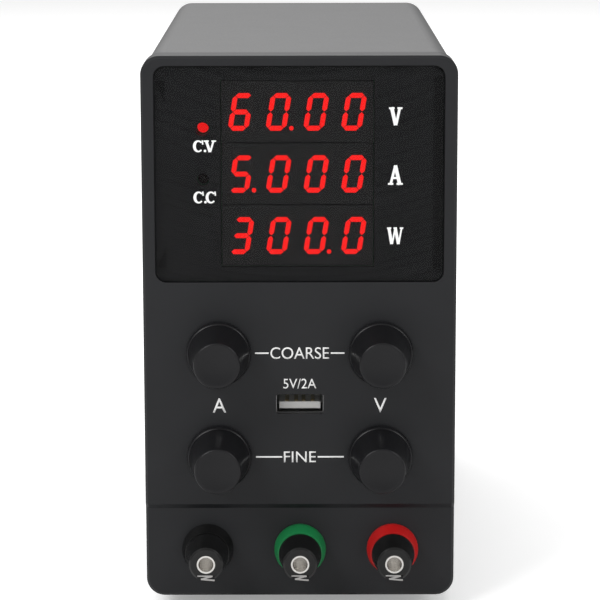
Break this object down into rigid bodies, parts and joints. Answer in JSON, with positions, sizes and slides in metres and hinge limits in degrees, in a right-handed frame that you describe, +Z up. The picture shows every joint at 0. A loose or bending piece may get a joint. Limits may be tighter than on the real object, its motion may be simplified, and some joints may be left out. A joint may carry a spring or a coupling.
{
  "type": "bench power supply",
  "caption": "Narrow upright bench power supply with red number displays, turning knobs, a charging socket and screw-cap binding posts.",
  "frame": {"origin": "middle of the whole object's footprint, on the bench", "axes": "+X to the right seen from the front, +Y from the front to the back, +Z up"},
  "size_m": [0.0874, 0.2198, 0.152],
  "materials": {
    "bezel_plastic": "fine-grained charcoal moulding",
    "board_green": "green circuit board",
    "can_black": "sleeved can",
    "choke_green": "lacquered winding on a coated ring",
    "contact_brass": "plated contact",
    "cover_paint": "dark grey powder coat, fine texture",
    "device_black": "black moulded package",
    "fan_black": "black moulding",
    "foot_rubber": "matt black rubber",
    "fuse_glass": "glass tube",
    "guard_wire": "plated steel",
    "inlet_black": "black moulding",
    "knob_plastic": "satin near-black moulding",
    "lamp_red": "red indicator lamp",
    "lug_brass": "tinned brass",
    "module_plastic": "dark moulded number module",
    "nut_steel": "nickel-plated steel",
    "pin_nickel": "nickel-plated brass",
    "post_black": "glossy black moulding",
    "post_green": "glossy green moulding",
    "post_red": "glossy red moulding",
    "pot_metal": "tinned steel",
    "rocker_black": "glossy black moulding",
    "screw_black": "black oxide steel",
    "segment_red": "lit red light bars",
    "shaft_steel": "turned steel",
    "shell_steel": "tin-plated steel",
    "sink_aluminium": "plain extruded aluminium",
    "slider_red": "red moulding",
    "stud_nickel": "nickel plate",
    "tongue_plastic": "pale moulded plastic",
    "transformer_tape": "amber tape over ferrite",
    "tray_steel": "dark grey powder coat",
    "washer_nickel": "nickel plate",
    "window_pane": "smoked glossy pane"
  },
  "bodies": {
    "housing": {"bulk_capacitors": "can_black", "case_screws": "screw_black", "chassis_tray": "tray_steel", "control_board": "board_green", "cover": "cover_paint", "display_board": "board_green", "display_modules": "module_plastic", "display_window": "window_pane", "fan_frame": "fan_black", "fan_guard": "guard_wire", "fan_screws": "screw_black", "front_bezel": "bezel_plastic", "inlet_housing": "inlet_black", "inlet_pins": "pin_nickel", "line_choke": "choke_green", "main_board": "board_green", "mode_leds": "lamp_red", "output_capacitors": "can_black", "output_choke": "choke_green", "output_heatsink": "sink_aluminium", "post_base_black": "post_black", "post_base_green": "post_green", "post_base_red": "post_red", "post_lugs": "lug_brass", "post_nuts": "nut_steel", "post_studs": "stud_nickel", "pot_bodies": "pot_metal", "pot_nuts": "nut_steel", "power_devices": "device_black", "primary_heatsink": "sink_aluminium", "rear_panel": "tray_steel", "rubber_feet": "foot_rubber", "segment_bars": "segment_red", "selector_body": "inlet_black", "switch_frame": "inlet_black", "transformer": "transformer_tape", "usb_contacts": "contact_brass", "usb_shell": "shell_steel", "usb_tongue": "tongue_plastic"},
    "current_coarse": {"knob_current_coarse": "knob_plastic", "shaft_current_coarse": "shaft_steel"},
    "voltage_coarse": {"knob_voltage_coarse": "knob_plastic", "shaft_voltage_coarse": "shaft_steel"},
    "current_fine": {"knob_current_fine": "knob_plastic", "shaft_current_fine": "shaft_steel"},
    "voltage_fine": {"knob_voltage_fine": "knob_plastic", "shaft_voltage_fine": "shaft_steel"},
    "fan": {"fan_rotor": "fan_black"},
    "fuse_holder": {"fuse_drawer": "inlet_black", "fuse": "fuse_glass"},
    "rocker": {"switch_rocker": "rocker_black"},
    "selector": {"selector_slider": "slider_red"},
    "washer_black": {"post_washer_black": "washer_nickel"},
    "cap_black": {"post_cap_black": "post_black"},
    "washer_green": {"post_washer_green": "washer_nickel"},
    "cap_green": {"post_cap_green": "post_black"},
    "washer_red": {"post_washer_red": "washer_nickel"},
    "cap_red": {"post_cap_red": "post_black"}
  },
  "joints": [
    {"name": "current_coarse_turn", "type": "hinge", "parent": "housing", "child": "current_coarse", "pos_m": [-0.0218, -0.09305, 0.0721], "axis": [0, 1, 0], "range_deg": [-150, 150]},
    {"name": "voltage_coarse_turn", "type": "hinge", "parent": "housing", "child": "voltage_coarse", "pos_m": [0.0218, -0.09305, 0.0721], "axis": [0, 1, 0], "range_deg": [-150, 150]},
    {"name": "current_fine_turn", "type": "hinge", "parent": "housing", "child": "current_fine", "pos_m": [-0.0218, -0.09305, 0.0435], "axis": [0, 1, 0], "range_deg": [-150, 150]},
    {"name": "voltage_fine_turn", "type": "hinge", "parent": "housing", "child": "voltage_fine", "pos_m": [0.0218, -0.09305, 0.0435], "axis": [0, 1, 0], "range_deg": [-150, 150]},
    {"name": "fan_spin", "type": "hinge", "parent": "housing", "child": "fan", "pos_m": [0, 0.0965, 0.116], "axis": [0, 1, 0], "continuous": true},
    {"name": "fuse_drawer_slide", "type": "slide", "parent": "housing", "child": "fuse_holder", "axis": [0, 1, 0], "range_m": [0, 0.012]},
    {"name": "rocker_tilt", "type": "hinge", "parent": "housing", "child": "rocker", "pos_m": [0.02, 0.10295, 0.051], "axis": [-1, 0, 0], "range_deg": [0, 24]},
    {"name": "selector_slide", "type": "slide", "parent": "housing", "child": "selector", "axis": [1, 0, 0], "range_m": [0, 0.004]},
    {"name": "post_black_turn", "type": "hinge", "parent": "housing", "child": "washer_black", "pos_m": [-0.0252, -0.09705, 0.01731], "axis": [0, -1, 0], "range_deg": [0, 1440]},
    {"name": "post_black_lift", "type": "slide", "parent": "washer_black", "child": "cap_black", "axis": [0, -1, 0], "range_m": [0, 0.0032]},
    {"name": "post_green_turn", "type": "hinge", "parent": "housing", "child": "washer_green", "pos_m": [0, -0.09705, 0.01731], "axis": [0, -1, 0], "range_deg": [0, 1440]},
    {"name": "post_green_lift", "type": "slide", "parent": "washer_green", "child": "cap_green", "axis": [0, -1, 0], "range_m": [0, 0.0032]},
    {"name": "post_red_turn", "type": "hinge", "parent": "housing", "child": "washer_red", "pos_m": [0.0252, -0.09705, 0.01731], "axis": [0, -1, 0], "range_deg": [0, 1440]},
    {"name": "post_red_lift", "type": "slide", "parent": "washer_red", "child": "cap_red", "axis": [0, -1, 0], "range_m": [0, 0.0032]}
  ],
  "couplings": [
    {"joint": "post_black_turn", "follows": "post_black_lift", "rad_per_m": 7854},
    {"joint": "post_green_turn", "follows": "post_green_lift", "rad_per_m": 7854},
    {"joint": "post_red_turn", "follows": "post_red_lift", "rad_per_m": 7854}
  ]
}
